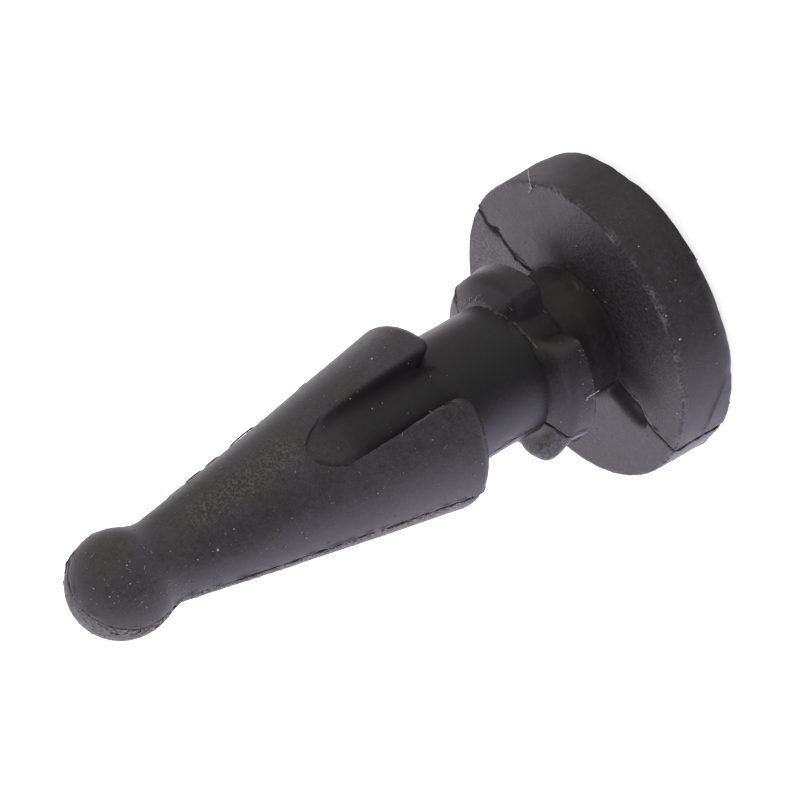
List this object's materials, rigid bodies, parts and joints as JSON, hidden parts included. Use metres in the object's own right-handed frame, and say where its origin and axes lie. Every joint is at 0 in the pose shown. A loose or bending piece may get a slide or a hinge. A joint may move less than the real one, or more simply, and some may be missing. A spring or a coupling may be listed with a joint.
{
  "type": "fan mounting rivet",
  "caption": "Soft rubber push-through rivet for a fan: thick round head, neck, notched snap collar, shank and long fluted barb that ends in a pull ball.",
  "frame": {"origin": "centre of the flat back of the head, on the surface that the rivet stands on", "axes": "+Z along the rivet's axis, from the head towards the pull ball; the flutes face +Y and -Y, and the mould's parting plane is XZ"},
  "size_m": [0.01, 0.01, 0.0217],
  "materials": {
    "black_rubber": "satin moulded black rubber, with a visible mould parting line"
  },
  "bodies": {
    "root": {"rivet": "black_rubber"}
  },
  "joints": []
}
